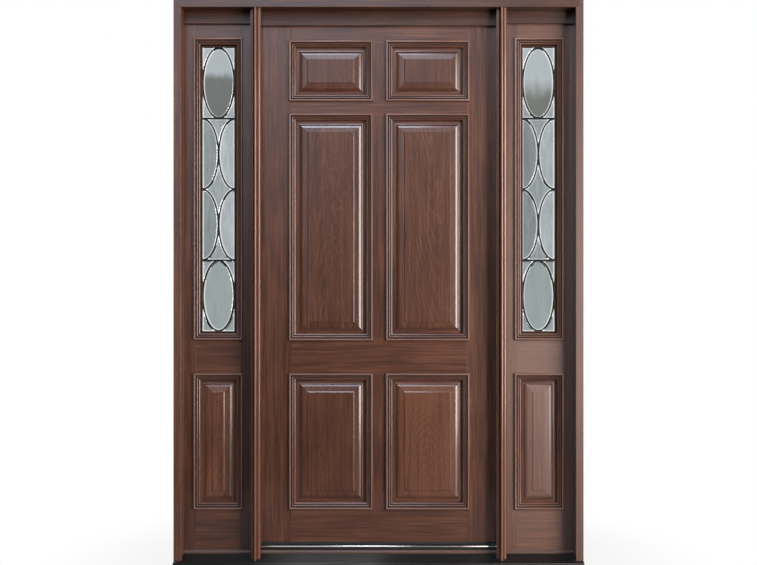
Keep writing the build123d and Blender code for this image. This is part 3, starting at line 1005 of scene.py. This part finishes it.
def brushed(name, colour, metallic, roughness, across, along, sheen_patch=None):
    """Metal, paint or rubber with fine lines along X, which are so wide across and so long along.

    The last argument is a paler colour painted in as sheen, with the middle and the reach of the patch that
    shows it.
    """
    finish = Finish(name)
    spot = finish.place()
    lines = finish.noise(finish.scaled(spot, (1 / along, 1 / across, 1 / across)), detail=2)
    cloud = finish.noise(finish.scaled(spot, METAL_CLOUD), detail=2)
    tint = finish.between(lines * 0.5 + cloud * 0.5, colour, 0.75, 1.2)
    # Painted sheen: a paler patch, broken up by the brushed lines.
    if sheen_patch:
        paler, middle, reach = sheen_patch
        off = (finish.part(spot, "X") - middle).math("ABSOLUTE")
        patch = 1 - finish.smooth(off + (cloud - 0.5) * reach, 0.35 * reach, 1.2 * reach)
        tint = finish.mixed(patch * finish.smooth(lines, 0.3, 0.6), tint, opaque(paler))
    relief = finish.bump(lines, 0.05 * MM, strength=0.15)
    return finish.surface({
        "Base Color": tint,
        "Metallic": metallic,
        "Roughness": roughness + (lines - 0.5) * 0.12,
        "Normal": relief,
    })


# Operators, one for each group of pieces


class ENTRYDOOR_OT_joinery(bpy.types.Operator):
    """Stain and varnish the jambs, mullions, headers, stiles and rails"""

    bl_idname = "entry_door.joinery"
    bl_label = "Finish the Joinery"

    # Nodes with the same wood, its name, the way of its grain, its tone, and what else sets it apart.
    BOARDS = (
        (["left_jamb"], "left_jamb_wood", UP, 1.2, {"painted_sheen": 0.11, "gloss": 0.6}),
        (["right_jamb"], "right_jamb_wood", UP, 0.75, {"shift": 4, "painted_sheen": 0.42}),
        (["left_mullion", "right_mullion"], "mullion_wood", UP, 1.0, {"shift": 3}),
        (["head_jamb"], "head_wood", ACROSS, 0.68, {}),
        # The headers sit under the head, and their darker tone is painted shade.
        (["door_header", "left_sidelight_header", "right_sidelight_header"],
         "header_wood", ACROSS, 0.62, {"shift": 4, "gloss": 0.15}),
        (["sill_beads"], "sill_bead_wood", ACROSS, 0.6, {"shift": 2, "painted_sheen": 0.5}),
        (["hinge_stile"], "hinge_stile_wood", UP, 0.94, {"shift": 5}),
        (["lock_stile"], "lock_stile_wood", UP, 1.1, {"shift": 9, "painted_sheen": 0.02}),
        (["muntins"], "muntin_wood", UP, 0.90, {"shift": 13}),
        (["top_rail", "frieze_rail"], "upper_rail_wood", ACROSS, 1.0, {"shift": 7}),
        (["lock_rail"], "lock_rail_wood", ACROSS, 1.05, {"shift": 11}),
        (["bottom_rail"], "bottom_rail_wood", ACROSS, 0.98, {"shift": 15}),
    )

    # Shift, tone and painted sheen of each sidelight's stiles, and how much its rails differ from them.
    SIDELIGHTS = {"left": (1, 0.90, 0.01), "right": (6, 1.0, 0.38)}
    RAIL_TONE, RAIL_FADED = 1.12, 0.04

    def execute(self, context):
        for nodes, name, grain, tone, rest in self.BOARDS:
            dress(nodes, wood(name, grain, tone, **rest))
        for side, (shift, tone, painted_sheen) in self.SIDELIGHTS.items():
            part = side + "_sidelight_"
            stiles = wood(part + "stile_wood", UP, tone, shift=shift, painted_sheen=painted_sheen)
            tone, painted_sheen = tone * self.RAIL_TONE, painted_sheen + self.RAIL_FADED
            rails = wood(part + "rail_wood", ACROSS, tone, shift=shift, painted_sheen=painted_sheen)
            dress([part + "stiles"], stiles)
            dress([part + "rails"], rails)
        return {"FINISHED"}


class ENTRYDOOR_OT_raised_panels(bpy.types.Operator):
    """Give the raised panels their flat-sawn figure"""

    bl_idname = "entry_door.raised_panels"
    bl_label = "Finish the Raised Panels"

    # What sets the wood of each node's panels apart.
    PANELS = {
        "tall_panels": {"gloss": 0.8, "streaks": 0.75},
        "lower_panels": {"gloss": 0.9, "streaks": 0.7},
        "top_panels": {"gloss": 0.7, "streaks": 0.6},
        "left_sidelight_panel": {"tone": 1.35, "painted_sheen": 0.04},
        "right_sidelight_panel": {"painted_sheen": 0.42},
    }

    def execute(self, context):
        figures = {
            "tall_panels": side_by_side(
                cathedral((-0.21, 1.25), 0.05, 0.10, 9 * MM, 0.30),
                cathedral((0.22, 1.45), 0.05, -0.12, 10 * MM, 0.28, lean=0.10), 0.05),
            "lower_panels": side_by_side(
                cathedral((-0.30, 0.60), 0.04, 0.20, 9 * MM, 0.30, lean=0.45),
                cathedral((0.19, 0.40), 0.04, 0.30, 9 * MM, 0.34), 0.32),
            "top_panels": side_by_side(
                cathedral((-0.1, 1.7), 0.06, 0.2, 10 * MM, 0.12),
                cathedral((0.3, 1.7), 0.06, 0.2, 10 * MM, 0.12), 0.0),
            "left_sidelight_panel": cathedral((-0.62, 0.3), 0.05, 0.2, 9 * MM, 0.16),
            "right_sidelight_panel": cathedral((0.66, 0.7), 0.05, -0.2, 9 * MM, 0.16),
        }
        for name, rest in self.PANELS.items():
            dress([name], wood(name + "_wood", figure=figures[name], **rest))
            NODES[name].data.shade_flat()
        return {"FINISHED"}


class ENTRYDOOR_OT_mouldings(bpy.types.Operator):
    """Run fine mouldings round the panels and the glass, and fine covers down the mullions"""

    bl_idname = "entry_door.mouldings"
    bl_label = "Run the Mouldings"

    def execute(self, context):
        draw = random.Random(GRAIN_SEED)
        material = wood("moulding_wood", ALONG, 1.05, gloss=0.45)
        # The covers take a lighter copy of the wood as a painted highlight, on top of the painted highlight
        # on their crests.
        cover = wood("cover_wood", ALONG, 1.4, gloss=0.7)
        for row in ("lower", "tall", "top"):
            moulding_piece(row + "_panel_mouldings", DOOR, material, draw)
        for side in SIDES:
            for part in ("glass", "panel"):
                moulding_piece(f"{side}_sidelight_{part}_mouldings", FRAME, material, draw)
            cover_piece(side, cover)
        return {"FINISHED"}


class ENTRYDOOR_OT_leaded_glass(bpy.types.Operator):
    """Set bevelled, textured glass in both sidelights"""

    bl_idname = "entry_door.leaded_glass"
    bl_label = "Glaze the Sidelights"

    # Tone of the upper glass of each sidelight, and heights where its painted reflection starts to turn
    # pale and is palest.
    UPPER_REFLECTION = {"left": (0.86, 1.900, 1.940), "right": (1.0, 1.820, 1.915)}

    def execute(self, context):
        looks = context.scene.door_finish
        for side, (shade, *horizon) in self.UPPER_REFLECTION.items():
            pale = (toned(looks.glass_pale, shade), *horizon)
            dim = toned(looks.glass_dim, shade * shade)
            materials = [
                glass(side + "_upper_oval_glass", dim, 0.08, 0.05, pale),
                glass(side + "_lower_oval_glass", looks.glass_grey, 0.07, 0.05),
                glass(side + "_left_half_glass", toned(looks.glass_grey, 0.74), 0.18, 0.12),
                glass(side + "_right_half_glass", toned(looks.glass_pale, 0.90), 0.20, 0.12),
                glass(side + "_field_glass", toned(looks.glass_grey, 0.95), 0.20, 0.12, pale),
                glass(side + "_bevel_glass", looks.bevel_tint, 0.02, 0.02),
            ]
            mesh = glass_mesh(side, LeadPattern(side))
            new_piece(
                side + "_leaded_glass", mesh, FRAME, materials,
                [side + "_sidelight_glass"])
        return {"FINISHED"}


class ENTRYDOOR_OT_lead_came(bpy.types.Operator):
    """Lay the lead strips and their solder on both faces of the glass"""

    bl_idname = "entry_door.lead_came"
    bl_label = "Lay the Lead Came"

    def execute(self, context):
        detail = context.scene.door_detail
        solder_radius, solder_rise = detail.came_width * 0.75, detail.came_rise * 1.2
        material = lead_finish()
        for side in SIDES:
            pattern = LeadPattern(side)
            low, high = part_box(side + "_sidelight_glass")
            meets = [(pattern.x, pattern.centre(1)), (pattern.x, pattern.centre(2))]
            meets += [(pattern.x, start[1]) for start, _ in pattern.bars()]
            bm = bmesh.new()
            for depth, facing in ((low.y, -1), (high.y, 1)):
                for line in pattern.strips():
                    add_strip(bm, line, detail.came_width, detail.came_rise, depth, facing)
                for spot in meets:
                    add_solder(bm, spot, solder_radius, solder_rise, depth, facing)
            mesh = mesh_from(bm, side + "_lead_came", sharp=50)
            new_piece(side + "_lead_came", mesh, FRAME, [material])
        return {"FINISHED"}


class ENTRYDOOR_OT_sill(bpy.types.Operator):
    """Finish the sill and the threshold"""

    bl_idname = "entry_door.sill"
    bl_label = "Finish the Sill"

    # X of the middle of the patch of painted sheen, and how far it reaches to each side.
    WORN_MIDDLE, WORN_REACH = -0.19, 0.26

    def execute(self, context):
        looks = context.scene.door_finish
        sheen_patch = (looks.sill_sheen, self.WORN_MIDDLE, self.WORN_REACH)
        dress(["sill"], brushed("sill_bronze", looks.sill, 0.3, 0.40, 3.0 * MM, 260 * MM, sheen_patch))
        dress(["threshold_base"], brushed("threshold_core", looks.sill, 0.2, 0.55, 1.5 * MM, 90 * MM))
        dress(["threshold_cap"], brushed("threshold_mill", looks.threshold, 1.0, 0.20, 0.6 * MM, 120 * MM))
        return {"FINISHED"}


class ENTRYDOOR_OT_hardware(bpy.types.Operator):
    """Finish the hinges and the sweep, and add the screws and the threshold's gasket"""

    bl_idname = "entry_door.hardware"
    bl_label = "Finish the Hardware"

    def execute(self, context):
        looks = context.scene.door_finish
        steel = brushed("hinge_steel", looks.steel, 1.0, 0.34, 0.5 * MM, 60 * MM)
        dress(["hinge_frame_leaves", "hinge_door_leaves"], steel)
        draw = random.Random(SCREW_SEED)
        for body, node, facing in ((FRAME, "hinge_frame_leaves", 1), (DOOR, "hinge_door_leaves", -1)):
            mesh = screw_mesh(body + "_screws", node, facing, draw)
            new_piece(body + "_screws", mesh, body, [steel])
        rubber = brushed("sweep_rubber", looks.rubber, 0.0, 0.6, 1.0 * MM, 60 * MM)
        dress(["door_sweep"], rubber)
        mesh = gasket_mesh("threshold_gasket")
        new_piece("threshold_gasket", mesh, FRAME, [rubber])
        return {"FINISHED"}


class ENTRYDOOR_OT_stage(bpy.types.Operator):
    """Set the floor, the lamps, the world and the camera"""

    bl_idname = "entry_door.stage"
    bl_label = "Set the Stage"

    # Floor: reach to each side, to the front and to the back, share of plain white that the camera sees,
    # and distances over which that share becomes full.
    FLOOR_REACH = (6.0, 1.4, 9.0)
    FLOOR_WHITE = 0.90
    FLOOR_FADE = (0.85, 1.4)

    # World: strength where it lights the part, direction of the glow, and nearness over which it sets in.
    DIM = 0.01
    GLOW_FROM = (-0.30, -0.85, 0.43)
    GLOW_EDGE = (0.85, 1.0)

    # Lamps: place, aim, size and colour.
    WARM, COOL = (1.0, 0.94, 0.92), (0.72, 0.84, 1.0)
    LAMPS = {
        "key": ((3.4, -3.0, 1.35), (0.0, 0.0, 1.15), (2.6, 2.9), WARM),
        "high": ((-0.35, -2.3, 4.3), (-0.1, 0.0, 1.6), (1.4, 1.2), COOL),
        "sky": ((-0.1, -4.0, 4.2), (-0.1, 0.0, 0.9), (1.6, 0.9), COOL),
        "back": ((-2.4, 3.4, 2.2), (0.0, 0.0, 1.1), (2.2, 2.2), WARM),
    }

    def execute(self, context):
        scene = context.scene
        self.floor(scene)
        self.world(scene)
        for name in self.LAMPS:
            self.lamp(scene, name)
        self.camera(scene)
        scene.view_settings.view_transform = "Standard"
        return {"FINISHED"}

    def floor(self, scene):
        """A pale floor that is white to the camera but keeps the door's shadow."""
        side, front, back = self.FLOOR_REACH
        corners = [(-side, -front, 0), (side, -front, 0), (side, back, 0), (-side, back, 0)]
        mesh = bpy.data.meshes.new("floor")
        mesh.from_pydata(corners, [], [(0, 1, 2, 3)])
        floor = bpy.data.objects.new("floor", mesh)
        scene.collection.objects.link(floor)
        finish = Finish("pale_floor")
        seen = finish.add("LightPath", out="Is Camera Ray")
        away = finish.add("VectorMath", {"operation": "LENGTH"}, {0: finish.place()}, out="Value")
        share = seen * (self.FLOOR_WHITE + finish.smooth(away, *self.FLOOR_FADE) * (1 - self.FLOOR_WHITE))
        pale = finish.add("BsdfDiffuse", {}, {"Color": (0.28, 0.28, 0.28, 1)})
        white = finish.add("Emission", {}, {"Color": (1, 1, 1, 1), "Strength": 1.0})
        finish.output(finish.add("MixShader", {}, {0: share, 1: pale, 2: white}))
        mesh.materials.append(finish.block)

    def world(self, scene):
        """White to the camera, through glass and behind the door, dim elsewhere, with a glow on gloss."""
        scene.world = bpy.data.worlds.new("studio")
        finish = Finish(world=scene.world)
        seen = finish.add("LightPath", out="Is Camera Ray")
        through = finish.add("LightPath", out="Is Transmission Ray")
        glossy = finish.add("LightPath", out="Is Glossy Ray")
        direction = finish.add("TexCoord", out="Generated")
        behind = finish.smooth(finish.part(direction, "Y"), 0.0, 0.3)
        bright = seen.math("MAXIMUM", through).math("MAXIMUM", glossy * behind)
        strength = self.DIM + bright * (1 - self.DIM)
        plain = finish.add("Background", {}, {"Color": (1, 1, 1, 1), "Strength": strength})
        ends = {0: direction, 1: self.GLOW_FROM}
        near = finish.add("VectorMath", {"operation": "DOT_PRODUCT"}, ends, out="Value")
        glow = finish.smooth(near, *self.GLOW_EDGE) * glossy
        sky = {"Color": (0.80, 0.86, 1.0, 1), "Strength": scene.door_stage.glow}
        cool = finish.add("Background", {}, sky)
        finish.output(finish.add("MixShader", {}, {0: glow, 1: plain, 2: cool}))

    def lamp(self, scene, name):
        """A soft lamp. Neither the camera nor the glass sees the one at the back."""
        spot, target, size, colour = self.LAMPS[name]
        light = bpy.data.lights.new(name + "_lamp", "AREA")
        light.shape = "RECTANGLE"
        light.size, light.size_y = size
        light.energy = getattr(scene.door_stage, name + "_power")
        light.color = colour
        lamp = bpy.data.objects.new(name + "_lamp", light)
        lamp.location = spot
        lamp.rotation_euler = (Vector(target) - Vector(spot)).to_track_quat("-Z", "Y").to_euler()
        if name == "back":
            lamp.visible_camera = False
            lamp.visible_transmission = False
        scene.collection.objects.link(lamp)

    def camera(self, scene):
        """A camera that looks straight at the outside face."""
        stage = scene.door_stage
        lens = bpy.data.cameras.new("camera")
        lens.lens = stage.lens
        lens.sensor_width = 36.0
        camera = bpy.data.objects.new("camera", lens)
        camera.location = (0.0, -stage.camera_distance, stage.camera_height)
        camera.rotation_euler = (math.radians(90), 0, 0)
        scene.collection.objects.link(camera)
        scene.camera = camera


STEPS = (
    ENTRYDOOR_OT_joinery,
    ENTRYDOOR_OT_raised_panels,
    ENTRYDOOR_OT_mouldings,
    ENTRYDOOR_OT_leaded_glass,
    ENTRYDOOR_OT_lead_came,
    ENTRYDOOR_OT_sill,
    ENTRYDOOR_OT_hardware,
    ENTRYDOOR_OT_stage,
)


class ENTRYDOOR_PT_sidebar(bpy.types.Panel):
    """The steps of the finish and their settings"""

    bl_label = "Entry Door"
    bl_space_type = "VIEW_3D"
    bl_region_type = "UI"
    bl_category = "Entry Door"

    def draw(self, context):
        for step in STEPS:
            self.layout.operator(step.bl_idname)
        for settings in SETTINGS:
            group = getattr(context.scene, settings)
            for name in group.bl_rna.properties.keys():
                if name not in ("rna_type", "name"):
                    self.layout.prop(group, name)


SETTINGS = {
    "door_finish": DoorFinishSettings,
    "door_detail": DoorDetailSettings,
    "door_stage": DoorStageSettings,
}
CLASSES = (*SETTINGS.values(), *STEPS, ENTRYDOOR_PT_sidebar)


def register():
    for cls in CLASSES:
        bpy.utils.register_class(cls)
    for name, group in SETTINGS.items():
        setattr(bpy.types.Scene, name, PointerProperty(type=group))


def unregister():
    for name in SETTINGS:
        delattr(bpy.types.Scene, name)
    for cls in reversed(CLASSES):
        bpy.utils.unregister_class(cls)


def main():
    register()
    for step in STEPS:
        group, name = step.bl_idname.split(".")
        getattr(getattr(bpy.ops, group), name)()


if __name__ == "__main__":
    main()
